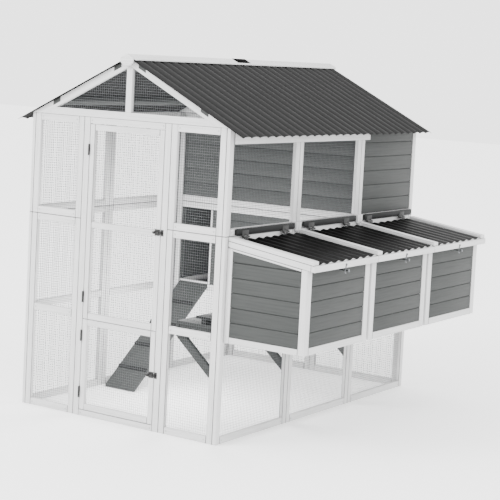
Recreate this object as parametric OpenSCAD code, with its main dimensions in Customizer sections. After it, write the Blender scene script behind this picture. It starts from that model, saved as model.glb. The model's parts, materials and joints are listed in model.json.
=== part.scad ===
// Walk-in chicken coop: mesh run, raised sleeping house, row of three outside nest boxes.
// Millimetres. X to the right, Y front to back, Z up, standing on Z = 0.

/* [Overall] */
// Width across the outer faces of the side walls
body_w = 1318; // [1100:1:1700]
// Length of the side walls, front to back
body_l = 2011; // [1700:1:2500]
// Height of the wall panels
wall_h = 1621; // [1400:1:1900]

/* [Wall frames] */
// Face width of the frame sticks
stick_w = 38; // [25:0.5:50]
// Thickness of the frame sticks
stick_t = 22; // [16:0.5:34]
// Height of the underside of the middle rails
mid_z = 533; // [450:1:600]
// Height of the joint between lower and upper panels
split_z = 1072; // [980:1:1180]
// Thickness of the wire mesh panels
mesh_t = 2.4; // [1.6:0.1:4]
// How far the mesh stands inside the inner face of a frame
mesh_inset = 3; // [1:0.5:8]

/* [Split door] */
// Width of each of the two leaves
leaf_w = 496; // [420:1:600]
// Gap round each leaf
leaf_gap = 3; // [2:0.5:6]
// Width of the door jambs
jamb_w = 40; // [30:1:60]
// Height of the threshold
sill_h = 33; // [20:1:60]
// Depth of the head piece above the door
head_h = 35; // [25:1:60]
// Width of the sticks of the leaves
leaf_stick = 32; // [24:1:45]
// Height of the cross rail of the upper leaf
leaf_rail_z = 1028; // [800:1:1200]
// Heights of the four hinges
hinge_z = [1446, 651, 440, 131];
// Heights of the two bolts
bolt_z = [1050, 299];

/* [Hinges] */
// Length of every hinge
hinge_l = 60; // [40:1:90]
// Outer radius of a hinge knuckle
knuckle_r = 5; // [3.5:0.1:8]
// Radius of a hinge pin
pin_r = 2.5; // [1.5:0.1:4]
// Radial running clearance round a pin
pin_clear = 0.07; // [0.02:0.01:0.1]
// Thickness of a hinge leaf
plate_t = 1.2; // [0.8:0.1:1.3]

/* [Door bolts] */
// Radius of the sliding rod
rod_r = 4; // [3:0.1:6]
// Radial running clearance round the rod
rod_clear = 0.07; // [0.02:0.01:0.1]
// Width of the bolt body on the leaf
bolt_w = 33; // [28:1:60]
// Height of the bolt body and of its keeper
bolt_h = 33; // [24:1:50]

/* [Roof] */
// Rise of the roof for each unit of run
roof_slope = 0.495; // [0.35:0.005:0.65]
// Upright depth of the rafters
rafter_h = 44; // [34:1:60]
// Width of the king posts
king_w = 36; // [26:1:60]
// Overhang of the roof beyond the side walls
eave_over = 91; // [40:1:160]
// Overhang of the roof sheets at front and back
gable_over = 20; // [10:1:60]
// Pitch of the roof corrugation
roof_pitch = 76; // [60:0.5:120]
// Height of the roof corrugation, sheet included
roof_wave = 10; // [6:0.5:20]
// Thickness of the roof and lid sheets
sheet_t = 0.8; // [0.5:0.1:3]
// Width of a purlin
purlin_w = 50; // [35:1:70]
// Upright depth of a purlin
purlin_h = 25; // [16:1:30]
// Distance of the upper purlins from the ridge line
purlin_a = 56; // [50:1:120]
// Distance of the lower purlins from the ridge line
purlin_b = 467; // [300:1:480]
// Half width of the ridge cap
cap_half = 52; // [40:1:80]
// Upright thickness of the ridge cap
cap_t = 8; // [6:0.5:14]
// Thickness of the ridge end plates
end_t = 12; // [8:0.5:20]

/* [House] */
// Thickness of the boards
board_t = 16; // [10:0.5:18]
// Pitch of the wall boards
board_p = 83; // [60:1:120]
// Width of the doorway for the hens
pop_w = 217; // [180:1:260]
// Left edge of that doorway, from the left wall's inner face
pop_x = 47; // [28:1:120]
// Height of the doorway above the middle rails
pop_h = 456; // [350:1:470]
// Thickness of the sliding door
pop_t = 12; // [8:0.5:18]
// Running gap on each side of the sliding door
pop_gap = 1; // [0.5:0.1:3]
// Thickness of the house floor
floor_t = 15; // [10:1:25]
// Side of a square perch
perch_w = 40; // [30:1:55]
// Height of the underside of the perches
perch_z = 860; // [700:1:950]

/* [Ramp] */
// Width of the ramp
ramp_w = 214; // [150:1:230]
// Distance of the foot of the ramp in front of the house
ramp_run = 700; // [500:1:900]
// Thickness of the ramp board
ramp_t = 18; // [12:0.5:28]
// Number of cleats
cleat_n = 4; // [3:1:8]
// Height of a cleat
cleat_h = 10; // [6:1:18]

/* [Nest boxes] */
// Depth of the boxes from wall to front
box_d = 480; // [350:1:560]
// Start of the first box behind the front corner
box_y = 25; // [22:1:60]
// Gap between two boxes
box_gap = 23; // [19:1:40]
// Distance from the last box to the rear corner
box_rear = 62; // [40:1:120]
// Underside of the boxes
box_z = 530; // [450:1:532]
// Width of the white corner posts
post_w = 44; // [30:1:60]
// Depth of the corner posts, as seen from the box end
post_d = 36; // [24:1:50]
// Height of the bottom rails of the box ends and width of their wall stiles
end_rail = 31; // [20:1:45]
// Height of the sloping top rails of the box ends
end_top = 12; // [8:1:30]
// Thickness of the frames of the box ends
end_frame_t = 21; // [19:0.5:26]
// Depth of the shelf inside the run
shelf_d = 275; // [200:1:320]
// Height of the top of the shelf
shelf_z = 605; // [590:1:640]
// Thickness of the shelf board
shelf_t = 18; // [12:1:28]
// Depth of the edge boards of the shelf
fascia_h = 42; // [30:1:60]

/* [Lids] */
// Fall of the lids for each unit of depth
lid_slope = 0.134; // [0.08:0.002:0.2]
// Height of the lid frame
lid_h = 32; // [24:1:45]
// Overhang of the lids in front of the boxes
lid_over = 40; // [25:1:70]
// Gap between the wall and the back of a lid
lid_back = 30; // [30:1:40]
// Gap between the wall and the near side of the first lid, which reaches further back
lid_wall = 4; // [3.5:0.5:12]
// Gap between a closed lid and its box
lid_rest = 0.5; // [0.4:0.1:2]
// Gap between two lids
lid_gap = 4; // [3:0.5:10]
// Pitch of the lid corrugation
lid_pitch = 76; // [50:1:90]
// Height of the lid corrugation, sheet included
lid_wave = 10; // [6:0.5:14]
// Width of the raised battens
batten_w = 50; // [30:1:70]
// Height of the raised battens above the lid frame
batten_h = 20; // [14:1:24]

/* [Hidden] */
seam = 0.06;
$fn = 48;
hw = body_w / 2;
box_l = (body_l - box_y - box_rear - 2 * box_gap) / 3;
box_p = box_l + box_gap;
inn = hw - stick_t;
bay = body_l / 3;
hy = 2 * bay;
head_z = wall_h - stick_w;
apex = wall_h + hw * roof_slope + 0.7;
leaf_x0 = -leaf_w / 2;
leaf_x1 = leaf_w / 2;
jamb_x0 = leaf_x0 - leaf_gap - jamb_w;
jamb_x1 = leaf_x1 + leaf_gap + jamb_w;
leaf_bot = sill_h + leaf_gap;
leaf_cut = mid_z - 2;
leaf_top = wall_h - head_h - leaf_gap;
hinge_x = leaf_x0 - leaf_gap / 2;
hinge_y = -knuckle_r - 0.5;
eave_x = hw + eave_over;
sheet_lift = 0.1;
roof_a = atan(roof_slope);
roof_up = roof_wave / cos(roof_a);
cap_z = apex + sheet_lift + roof_up + 0.3 + cap_t;
lid_a = atan(lid_slope);
lid_top = split_z - 20;
lid_axis_x = hw + lid_back - 6;
lid_axis_z = lid_top + 14;
lid_end = box_d + lid_over;
lid_y = [box_y - 3, box_y + box_p - lid_gap - 2, box_y + 2 * box_p - lid_gap - 5];
lid_l = [box_p - 2 - lid_gap - 1, box_p - 3 - lid_gap, box_l + 35];
hook_y = [box_y + box_l / 2, box_y + box_p + box_l / 2, box_y + 2 * box_p + box_l / 2];
hook_z = lid_top - lid_slope * lid_end - lid_h / 2;
stud_z = hook_z - 30;
knob_out = 13;
pop_x0 = -inn + pop_x;
pop_x1 = pop_x0 + pop_w;
pop_z0 = mid_z + stick_w;
ramp_top = mid_z + 24;
ramp_m = ramp_top / ramp_run;
ramp_a = atan(ramp_m);
mid_x = (hw + lid_end + knob_out - eave_x - roof_wave * sin(roof_a)) / 2;
mid_y = body_l / 2;

white = [0.86, 0.86, 0.86];
grey = [0.5, 0.51, 0.5];
dark = [0.2, 0.2, 0.2];
wire = [0.72, 0.72, 0.72];
black = [0.08, 0.08, 0.08];

// Puts the middle of the whole footprint on the origin.
module place() {
    translate([-mid_x, -mid_y, -seam / 2])
        children();
}

// A straight timber between two opposite corners, a hair smaller so that neighbours only touch.
module bar(p, q) {
    translate(p + [seam, seam, seam] / 2)
        cube(q - p - [seam, seam, seam]);
}

// A flat shape drawn in X and Z, running from y0 to y1.
module along_y(points, y0, y1) {
    translate([0, y1 - seam / 2, 0])
        rotate([90, 0, 0])
            linear_extrude(y1 - y0 - seam)
                polygon(points);
}

// A flat shape drawn in Y and Z, running from x0 to x1.
module along_x(points, x0, x1) {
    translate([x0 + seam / 2, 0, 0])
        rotate([90, 0, 90])
            linear_extrude(x1 - x0 - seam)
                polygon(points);
}

// Stiles and rails of one framed bay in a wall that faces front or back.
module bay_front(x0, x1, y0, y1) {
    for (s = [x0, x1 - stick_w]) {
        bar([s, y0, 0], [s + stick_w, y1, split_z]);
        bar([s, y0, split_z], [s + stick_w, y1, wall_h]);
    }
    for (z = [0, mid_z, split_z - stick_w, split_z, head_z])
        bar([x0 + stick_w, y0, z], [x1 - stick_w, y1, z + stick_w]);
}

// Stiles and rails of one framed bay in a side wall.
module bay_side(x0, x1, y0, y1) {
    for (s = [y0, y1 - stick_w]) {
        bar([x0, s, 0], [x1, s + stick_w, split_z]);
        bar([x0, s, split_z], [x1, s + stick_w, wall_h]);
    }
    for (z = [0, mid_z, split_z - stick_w, split_z, head_z])
        bar([x0, y0 + stick_w, z], [x1, y1 - stick_w, z + stick_w]);
}

// Boards laid edge to edge, with a V groove at each joint on the face at depth 0.
function groove(z, z1) = z < z1 - 6 ? [[0, z - 2], [3, z], [0, z + 2]] : [];
function clad(z0, z1, p, t) = concat([[t, z0], [0, z0]],
    [for (z = [z0 + p : p : z1]) for (q = groove(z, z1)) q], [[0, z1], [t, z1]]);

// Cladding that faces the front.
module clad_front(x0, x1, y, z0, z1) {
    along_x([for (q = clad(z0 + seam / 2, z1 - seam / 2, board_p, board_t)) [y + q[0], q[1]]],
        x0, x1);
}

// Cladding that faces the right; dir = -1 makes it face the left.
module clad_side(x, dir, y0, y1, z0, z1, t) {
    along_y([for (q = clad(z0 + seam / 2, z1 - seam / 2, board_p, t)) [x - dir * q[0], q[1]]],
        y0, y1);
}

// One wave of sheet every pitch: points of its underside or top, from y0 to y1.
function wave(y0, y1, p, a, z) = [for (i = [0 : round((y1 - y0) / p * 6)])
    let (y = min(y0 + i * p / 6, y1)) [y, z + a / 2 - a / 2 * cos(i * 60)]];
function back(v) = [for (i = [len(v) - 1 : -1 : 0]) v[i]];

// A corrugated sheet with its ribs along X.
module corrugated(x0, x1, y0, y1, p, h) {
    n = round((y1 - y0) / p * 6);
    q = (y1 - y0) / n * 6;
    along_x(concat(wave(y0, y1, q, h - sheet_t, 0), back(wave(y0, y1, q, h - sheet_t, sheet_t))),
        x0, x1);
}

module front_wall_frame() {
    color(white) place() {
        bay_front(-inn, jamb_x0, 0, stick_t);
        bay_front(jamb_x1, inn, 0, stick_t);
    }
}

module door_frame() {
    color(white) place() {
        bar([jamb_x0, 0, 0], [jamb_x0 + jamb_w, stick_t, wall_h]);
        bar([jamb_x1 - jamb_w, 0, 0], [jamb_x1, stick_t, wall_h]);
        bar([jamb_x0 + jamb_w, 0, 0], [jamb_x1 - jamb_w, stick_t, sill_h]);
        bar([jamb_x0 + jamb_w, 0, wall_h - head_h], [jamb_x1 - jamb_w, stick_t, wall_h]);
    }
}

module left_wall_frame() {
    color(white) place()
        for (i = [0 : 2])
            bay_side(-hw, -inn, i * bay, i * bay + bay);
}

module right_wall_frame() {
    color(white) place() {
        for (i = [0 : 2])
            bay_side(inn, hw, i * bay, i * bay + bay);
        for (i = [1, 2])
            for (s = [-24, 3])
                bar([hw, i * bay + s, split_z - 10], [hw + 18, i * bay + s + 21, split_z + 38]);
    }
}

module rear_wall_frame() {
    color(white) place() {
        bay_front(-inn, 0, body_l - stick_t, body_l);
        bay_front(0, inn, body_l - stick_t, body_l);
    }
}

// Openings of a framed bay, bottom to top.
low = [stick_w, mid_z];
middle = [mid_z + stick_w, split_z - stick_w];
high = [split_z + stick_w, head_z];

module front_wall_mesh() {
    y0 = stick_t - mesh_inset - mesh_t;
    color(wire) place()
        for (x = [[-inn, jamb_x0], [jamb_x1, inn]])
            for (z = [low, middle, high])
                bar([x[0] + stick_w, y0, z[0]], [x[1] - stick_w, y0 + mesh_t, z[1]]);
}

module side_mesh(x, i, z) {
    bar([x, i * bay + stick_w, z[0]], [x + mesh_t, i * bay + bay - stick_w, z[1]]);
}

module left_wall_mesh() {
    x = -inn - mesh_inset - mesh_t;
    color(wire) place() {
        for (i = [0, 1])
            for (z = [low, middle, high])
                side_mesh(x, i, z);
        side_mesh(x, 2, low);
    }
}

module right_wall_mesh() {
    x = inn + mesh_inset;
    color(wire) place() {
        for (i = [0 : 2])
            side_mesh(x, i, low);
        for (i = [0, 1])
            side_mesh(x, i, high);
    }
}

module rear_wall_mesh() {
    y = body_l - stick_t + mesh_inset;
    color(wire) place()
        for (x = [[-inn, 0], [0, inn]])
            bar([x[0] + stick_w, y, low[0]], [x[1] - stick_w, y + mesh_t, low[1]]);
}

// Height of the rafter tops at a distance x from the ridge.
function top_z(x) = apex - roof_slope * x;
low_x = (apex - rafter_h - wall_h) / roof_slope;
tie_x = (apex - rafter_h - wall_h - stick_w) / roof_slope;

function notch(x) = [[x + purlin_w + seam, top_z(x + purlin_w + seam)],
    [x + purlin_w + seam, top_z(x + purlin_w) - purlin_h - seam],
    [x - seam, top_z(x) - purlin_h - seam], [x - seam, top_z(x - seam)]];

// One triangular roof frame: two notched rafters, a tie and a king post.
module truss(y0, y1) {
    rafter = concat([[seam, apex - rafter_h], [low_x, wall_h + seam / 2], [hw, wall_h + seam / 2],
        [hw, top_z(hw)]], notch(purlin_b), notch(purlin_a), [[seam, apex]]);
    along_y(rafter, y0, y1);
    along_y([for (q = rafter) [-q[0], q[1]]], y0, y1);
    along_y([[-low_x + 0.2, wall_h + seam / 2], [low_x - 0.2, wall_h + seam / 2],
        [tie_x - 0.2, wall_h + stick_w], [-tie_x + 0.2, wall_h + stick_w]], y0, y1);
    along_y([[-king_w / 2, wall_h + stick_w + seam], [king_w / 2, wall_h + stick_w + seam],
        [king_w / 2, top_z(king_w / 2) - rafter_h - 0.1], [0, apex - rafter_h - 0.1],
        [-king_w / 2, top_z(king_w / 2) - rafter_h - 0.1]], y0, y1);
}

// The right-hand triangle between tie, king post and rafter.
function tri() = [[king_w / 2 + 0.1, wall_h + stick_w + 0.1], [tie_x - 0.5, wall_h + stick_w + 0.1],
    [king_w / 2 + 0.1, top_z(king_w / 2) - rafter_h - 0.3]];

module gable_fill(y0, y1) {
    along_y(tri(), y0, y1);
    along_y([for (q = tri()) [-q[0], q[1]]], y0, y1);
}

// Grooved boards trimmed to the two triangles.
module gable_boards(y0) {
    intersection() {
        clad_front(-hw, hw, y0, wall_h + stick_w, apex);
        gable_fill(y0 - 5, y0 + board_t + 5);
    }
}

module front_truss() {
    color(white) place()
        truss(0, stick_t);
}

module house_truss() {
    color(white) place()
        truss(hy, hy + stick_t);
}

module rear_truss() {
    color(white) place()
        truss(body_l - stick_t, body_l);
}

module front_gable_mesh() {
    color(wire) place()
        gable_fill(stick_t - mesh_inset - mesh_t, stick_t - mesh_inset);
}

module roof_purlins() {
    color(grey) place()
        for (x = [purlin_a, purlin_b])
            for (s = [-1, 1])
                along_y([[s * x, top_z(x)], [s * (x + purlin_w), top_z(x + purlin_w)],
                    [s * (x + purlin_w), top_z(x + purlin_w) - purlin_h],
                    [s * x, top_z(x) - purlin_h]], 0, body_l);
}

module roof_sheet() {
    translate([0, 0, apex + sheet_lift])
        rotate([0, roof_a, 0])
            corrugated(8, eave_x / cos(roof_a), -gable_over, body_l + gable_over, roof_pitch, roof_wave);
}

module roof_sheet_right() {
    color(dark) place()
        roof_sheet();
}

module roof_sheet_left() {
    color(dark) place()
        mirror([1, 0, 0])
            roof_sheet();
}

// A roof-shaped strip: upper surface through z on the centre line.
module vee(half, z, t, y0, y1) {
    along_y([[0, z], [half, z - half * roof_slope], [half, z - half * roof_slope - t], [0, z - t],
        [-half, z - half * roof_slope - t], [-half, z - half * roof_slope]], y0, y1);
}

module ridge_cap() {
    color(white) place()
        for (s = [-1, 1])
            along_y([[s * seam / 2, cap_z], [s * cap_half, cap_z - cap_half * roof_slope],
                [s * cap_half, cap_z - cap_half * roof_slope - cap_t], [s * seam / 2, cap_z - cap_t]],
                -gable_over, body_l + gable_over);
}

module ridge_joint_plate() {
    color(dark) place()
        vee(cap_half - 8, cap_z + 1.6, 1.5, mid_y - 65, mid_y + 65);
}

module ridge_end_plates() {
    zt = cap_z;
    color(white) place()
        for (y = [-gable_over - end_t, body_l + gable_over])
            along_y([[0, zt], [41, zt - 41 * roof_slope], [41, zt - 44], [21, zt - 62],
                [-21, zt - 62], [-41, zt - 44], [-41, zt - 41 * roof_slope]], y, y + end_t);
}

module eave_board() {
    color(white) place()
        bar([hw, stick_w, head_z - 42], [hw + 12, hy + 2 * stick_w, head_z + 17]);
}

module house_front_frame() {
    color(white) place() {
        bar([-inn, hy, mid_z - 3], [inn, hy + stick_t, mid_z + stick_w]);
        for (z = [split_z - stick_w, split_z, head_z])
            bar([-inn, hy, z], [inn, hy + stick_t, z + stick_w]);
        bar([pop_x1, hy, pop_z0], [pop_x1 + 11, hy + stick_t, split_z - stick_w]);
        bar([pop_x0, hy, pop_z0], [pop_x1, hy + stick_t, pop_z0 + 11]);
    }
}

module house_front_boards() {
    color(grey) place() {
        clad_front(pop_x1 + 11, inn, hy + 2, middle[0], middle[1]);
        clad_front(-inn, pop_x0, hy + 2, middle[0], middle[1]);
        clad_front(-inn, inn, hy + 2, high[0], high[1]);
        gable_boards(hy + 3);
    }
}

module house_left_boards() {
    color(grey) place()
        for (z = [middle, high])
            clad_side(-hw + 2, -1, hy + stick_w, body_l - stick_w, z[0], z[1], board_t);
}

module house_right_boards() {
    color(grey) place()
        clad_side(hw - 2, 1, hy + stick_w, body_l - stick_w, high[0], high[1], board_t);
}

module house_rear_boards() {
    color(grey) place() {
        translate([0, 2 * body_l, 0]) mirror([0, 1, 0])
            for (x = [[-inn, 0], [0, inn]])
                for (z = [middle, high])
                    clad_front(x[0] + stick_w, x[1] - stick_w, body_l + 2, z[0], z[1]);
        gable_boards(body_l - stick_t + 3);
    }
}

// White upright on the house front, rounded at its foot.
module house_corner_batten() {
    x0 = -hw + 37;
    x1 = pop_x0 - 3;
    r = (x1 - x0) / 2;
    z0 = mid_z - 3;
    color(white) place() {
        translate([(x0 + x1) / 2, hy - seam, z0 + r])
            rotate([90, 0, 0])
                intersection() {
                    cylinder(r = r, h = 12);
                    translate([-r, -r, -1])
                        cube([2 * r, r, 14]);
                }
        bar([x0 - seam / 2, hy - 12 - seam, z0 + r - seam], [x1 + seam / 2, hy, head_z + 17]);
    }
}

module house_floor() {
    color(grey) place()
        bar([-inn, hy + stick_t, mid_z - 3], [inn, body_l - stick_t, mid_z - 3 + floor_t]);
}

module perches() {
    color(grey) place()
        for (x = [-inn + 440, -inn + 800])
            bar([x, hy + stick_t, perch_z], [x + perch_w, body_l - stick_t, perch_z + perch_w]);
}

pop_y0 = hy + stick_t + pop_gap;
pop_lap = 10;

// Grooved uprights that hold the sliding door at both edges.
module pop_door_guides() {
    y1 = pop_y0 + pop_t + pop_gap;
    z0 = mid_z - 3 + floor_t;
    z1 = split_z - stick_w + pop_h + 16;
    color(grey) place() {
        bar([pop_x0 - pop_lap - pop_gap - 14, hy + stick_t, z0], [pop_x0 - pop_lap - pop_gap, y1, z1]);
        bar([pop_x0 - pop_lap - pop_gap - 14, y1, z0], [pop_x0 - 2, y1 + 10, z1]);
        bar([pop_x1 + pop_lap + pop_gap, hy + stick_t, z0], [pop_x1 + pop_lap + pop_gap + 14, y1, z1]);
        bar([pop_x1 + 2, y1, z0], [pop_x1 + pop_lap + pop_gap + 14, y1 + 10, z1]);
    }
}

// The sliding door, drawn raised.
module pop_door() {
    color(grey) place()
        bar([pop_x0 - pop_lap, pop_y0, split_z - stick_w + 4],
            [pop_x1 + pop_lap, pop_y0 + pop_t, split_z - stick_w + pop_h + 12]);
}

ramp_x0 = pop_x0 + (pop_w - ramp_w) / 2;
ramp_y0 = hy - ramp_run;
ramp_s = ramp_t * sin(ramp_a);
ramp_c = ramp_t * cos(ramp_a);

module ramp_board() {
    top = ramp_m * (ramp_run - ramp_s) + ramp_c;
    color(grey) place()
        along_x([[ramp_y0 + ramp_s, seam / 2], [hy - seam, ramp_m * (ramp_run - ramp_s) ],
            [hy - seam, top + ramp_m * ramp_s], [ramp_y0, ramp_c]], ramp_x0, ramp_x0 + ramp_w);
}

module ramp_cleats() {
    step = ramp_run / cos(ramp_a) / (cleat_n + 0.8);
    color(grey) place()
        translate([ramp_x0, ramp_y0, ramp_c + 0.1])
            rotate([ramp_a, 0, 0])
                for (i = [1 : cleat_n])
                    translate([5, step * (i - 0.15) - 10, 0])
                        cube([ramp_w - 10, 20, cleat_h]);
}

shelf_x = inn - shelf_d;
shelf_under = shelf_z - shelf_t;
strut_y = [stick_t + 3, bay - 27, hy - 42];

module nest_shelf() {
    color(grey) place() {
        bar([shelf_x, stick_t + 1, shelf_under], [inn, hy, shelf_z]);
        bar([shelf_x, stick_t + 1, shelf_under - fascia_h], [shelf_x + 18, hy, shelf_under]);
        for (y = strut_y)
            bar([shelf_x + 18, y, shelf_under - fascia_h], [inn, y + 24, shelf_under]);
    }
}

module shelf_step() {
    color(grey) place() {
        bar([inn - 120, stick_t + 4, shelf_z], [inn - 90, hy, shelf_z + 26]);
        bar([inn - 30, stick_t + 4, shelf_z], [inn, hy, shelf_z + 26]);
        bar([inn - 157, stick_t + 4, shelf_z + 26], [inn, hy, shelf_z + 39]);
    }
}

module shelf_struts() {
    z1 = shelf_under - fascia_h - seam / 2;
    drop = 236;
    m = drop / shelf_d;
    up = 43 / cos(atan(m));
    color(grey) place()
        for (y = strut_y)
            along_y([[shelf_x, z1 - 24], [inn - seam / 2, z1 - 24 - drop],
                [inn - seam / 2, z1 - 24 - drop + up], [shelf_x + (up - 24) / m, z1], [shelf_x, z1]],
                y, y + 24);
}

// Top of the box walls, just under the closed lid, at a depth d from the wall.
function wall_top(d) = lid_top - lid_slope * d - lid_h - lid_rest;

module box_frame(y0) {
    x1 = hw + box_d;
    for (y = [y0, y0 + box_l - post_w])
        along_y([[x1 - post_d, box_z], [x1, box_z], [x1, wall_top(box_d)],
            [x1 - post_d, wall_top(box_d - post_d)]], y, y + post_w);
    bar([x1 - 22, y0 + post_w, box_z], [x1, y0 + box_l - post_w, box_z + 36]);
    for (y = [y0, y0 + box_l - end_frame_t])
        box_end_frame(y);
}

// Frame of one box end between the wall and a corner post: stile, bottom rail, sloping top rail.
module box_end_frame(y) {
    d0 = end_rail;
    d1 = box_d - post_d - seam;
    along_y([[hw, box_z], [hw + d0 - seam, box_z], [hw + d0 - seam, wall_top(d0 - seam)],
        [hw, wall_top(0)]], y, y + end_frame_t);
    bar([hw + d0, y, box_z], [hw + d1, y + end_frame_t, box_z + end_rail]);
    along_y([[hw + d0, wall_top(d0) - end_top], [hw + d1, wall_top(d1) - end_top],
        [hw + d1, wall_top(d1)], [hw + d0, wall_top(d0)]], y, y + end_frame_t);
}

// Boards of one box end, set 2 mm back inside its frame.
module box_end(y0, flip) {
    d0 = end_rail + seam;
    d1 = box_d - post_d - 2 * seam;
    z0 = box_z + end_rail + seam;
    intersection() {
        translate([0, flip ? 2 * y0 + board_t : 0, 0])
            mirror([0, flip ? 1 : 0, 0])
                along_x([for (q = clad(z0, lid_top, 76, board_t)) [y0 + q[0], q[1]]], hw + d0, hw + d1);
        along_y([[hw + d0, z0], [hw + d1, z0], [hw + d1, wall_top(d1) - end_top - seam],
            [hw + d0, wall_top(d0) - end_top - seam]], y0 - 5, y0 + board_t + 5);
    }
}
module box_front(y0) {
    x1 = hw + box_d - 3;
    z0 = box_z + 36 + seam / 2;
    z1 = wall_top(box_d - 3);
    along_y([for (q = clad(z0, z1, 77, board_t)) [x1 - q[0], q[1]]], y0 + post_w, y0 + box_l - post_w);
}

module nest_box_frames() {
    color(white) place()
        for (i = [0 : 2])
            box_frame(box_y + i * box_p);
}

module nest_box_boards() {
    color(grey) place()
        for (i = [0 : 2]) {
            box_front(box_y + i * box_p);
            box_end(box_y + i * box_p + 2, false);
            box_end(box_y + i * box_p + box_l - board_t - 2, true);
        }
}

module nest_box_floors() {
    color(grey) place()
        for (i = [0 : 2])
            bar([hw, box_y + i * box_p + end_frame_t + seam, box_z],
                [hw + box_d - post_d - seam, box_y + i * box_p + box_l - end_frame_t - seam, box_z + 15]);
}

module lid_hinge_boards() {
    color(grey) place()
        for (y = [[lid_y[0] + batten_w + 3, bay - 38], [bay + 55, hy - 44], [hy + 55, body_l - 36]])
            bar([hw, y[0], split_z + 5], [hw + 18, y[1], split_z + 36]);
}

// Hinge positions along one lid.
function lid_hinges(i) = [lid_y[i] + 130, lid_y[i] + lid_l[i] - 130];

module lid_hinge_fixed() {
    third = hinge_l / 6;
    color(black) place()
        for (i = [0 : 2])
            for (y = lid_hinges(i)) {
                translate([lid_axis_x, y + hinge_l / 2, lid_axis_z])
                    rotate([90, 0, 0])
                        cylinder(r = pin_r, h = hinge_l);
                for (s = [-1, 1]) {
                    translate([lid_axis_x, y + s * (hinge_l / 2 + third + 0.4) / 2, lid_axis_z])
                        rotate([90, 0, 0])
                            cylinder(r = knuckle_r, h = hinge_l / 2 - third - 0.4, center = true);
                    translate([hw + 18.05, y + s * (hinge_l / 2 + third + 0.4) / 2
                        - (hinge_l / 2 - third - 0.4) / 2, lid_axis_z])
                        cube([plate_t + 0.4, hinge_l / 2 - third - 0.4, knuckle_r + 1]);
                }
                translate([hw + 18.05, y - hinge_l / 2, lid_axis_z + knuckle_r + 0.6])
                    cube([plate_t + 0.4, hinge_l, 28]);
            }
}

module hook_studs() {
    color(wire) place()
        for (y = hook_y)
            translate([hw + box_d - 3, y, stud_z])
                rotate([0, 90, 0]) {
                    cylinder(r = 3, h = lid_over + knob_out - 3);
                    translate([0, 0, lid_over + knob_out - 4])
                        cylinder(r = 8, h = 7);
                }
}

module door_hinge_fixed() {
    third = hinge_l / 6;
    tall = hinge_l / 2 - third - 0.4;
    color(black) place()
        for (z = hinge_z) {
            translate([hinge_x, hinge_y, z - hinge_l / 2])
                cylinder(r = pin_r, h = hinge_l);
            for (s = [-1, 1]) {
                translate([hinge_x, hinge_y, z + s * (hinge_l / 2 + third + 0.4) / 2])
                    cylinder(r = knuckle_r, h = tall, center = true);
                translate([leaf_x0 - leaf_gap + 0.05, hinge_y,
                    z + s * (hinge_l / 2 + third + 0.4) / 2 - tall / 2])
                    cube([plate_t, -hinge_y + 1, tall]);
            }
            translate([leaf_x0 - leaf_gap + 0.05, 0.4, z - hinge_l / 2])
                cube([plate_t, stick_t - 4, hinge_l]);
        }
}

module bolt_keepers() {
    x0 = leaf_x1 + leaf_gap + 1;
    color(black) place()
        for (z = bolt_z) {
            translate([x0, -2 - seam, z - bolt_h / 2])
                cube([17, 2, bolt_h]);
            for (s = [-1, 1])
                translate([x0 + 1, -8 - rod_r - 0.6, z - 1.5 + s * (rod_r + 2)])
                    cube([8, rod_r + 6.6 - 2 * seam - 0.06, 3]);
            translate([x0 + 1, -8 - rod_r - 3.6, z - rod_r - 3.5])
                cube([8, 3 - seam, 2 * rod_r + 7]);
        }
}

// Frame of a leaf with its rails at the given heights.
module leaf_frame(z0, z1, rails) {
    for (x = [leaf_x0, leaf_x1 - leaf_stick])
        bar([x, 0, z0], [x + leaf_stick, stick_t, z1]);
    for (z = rails)
        bar([leaf_x0 + leaf_stick, 0, z], [leaf_x1 - leaf_stick, stick_t, z + leaf_stick]);
}

module leaf_mesh(z0, z1) {
    y0 = stick_t - mesh_inset - mesh_t;
    bar([leaf_x0 + leaf_stick, y0, z0], [leaf_x1 - leaf_stick, y0 + mesh_t, z1]);
}

// Moving halves of two hinges, and the body of one bolt.
module leaf_fittings(zs, zb) {
    third = hinge_l / 6;
    x1 = leaf_x0 - 0.05;
    for (z = zs)
        difference() {
            union() {
                translate([hinge_x, hinge_y, z - third + 0.3])
                    cylinder(r = knuckle_r, h = 2 * third - 0.6);
                translate([x1 - plate_t, hinge_y, z - third + 0.3])
                    cube([plate_t, -hinge_y + 1, 2 * third - 0.6]);
                translate([x1 - plate_t, 0.4, z - hinge_l / 2])
                    cube([plate_t, stick_t - 4, hinge_l]);
            }
            translate([hinge_x, hinge_y, z - hinge_l])
                cylinder(r = pin_r + pin_clear, h = 2 * hinge_l);
        }
    x0 = leaf_x1 - 2 - bolt_w;
    translate([x0, -2 - seam, zb - bolt_h / 2])
        cube([bolt_w, 2, bolt_h]);
    for (x = [x0, x0 + bolt_w - 6])
        difference() {
            translate([x, -14, zb - 7])
                cube([6, 12.5 - seam, 14]);
            translate([x - 1, -8, zb])
                rotate([0, 90, 0])
                    cylinder(r = rod_r + rod_clear, h = 8);
        }
}

// Rod with its knob, drawn withdrawn.
module bolt(z) {
    x0 = leaf_x1 - 2 - bolt_w;
    translate([x0 - 11, -8, z])
        rotate([0, 90, 0])
            cylinder(r = rod_r, h = bolt_w + 12.5);
    translate([x0 + 10, -8, z])
        rotate([90, 0, 0])
            cylinder(r = 3, h = 16);
    translate([x0 + 10, -22, z])
        rotate([90, 0, 0])
            cylinder(r = 6, h = 6);
}

module upper_door_frame() {
    color(white) place()
        leaf_frame(leaf_cut + 1.5, leaf_top, [leaf_cut + 1.5, leaf_rail_z, leaf_top - leaf_stick]);
}

module upper_door_mesh() {
    color(wire) place() {
        leaf_mesh(leaf_cut + 1.5 + leaf_stick, leaf_rail_z);
        leaf_mesh(leaf_rail_z + leaf_stick, leaf_top - leaf_stick);
    }
}

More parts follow.
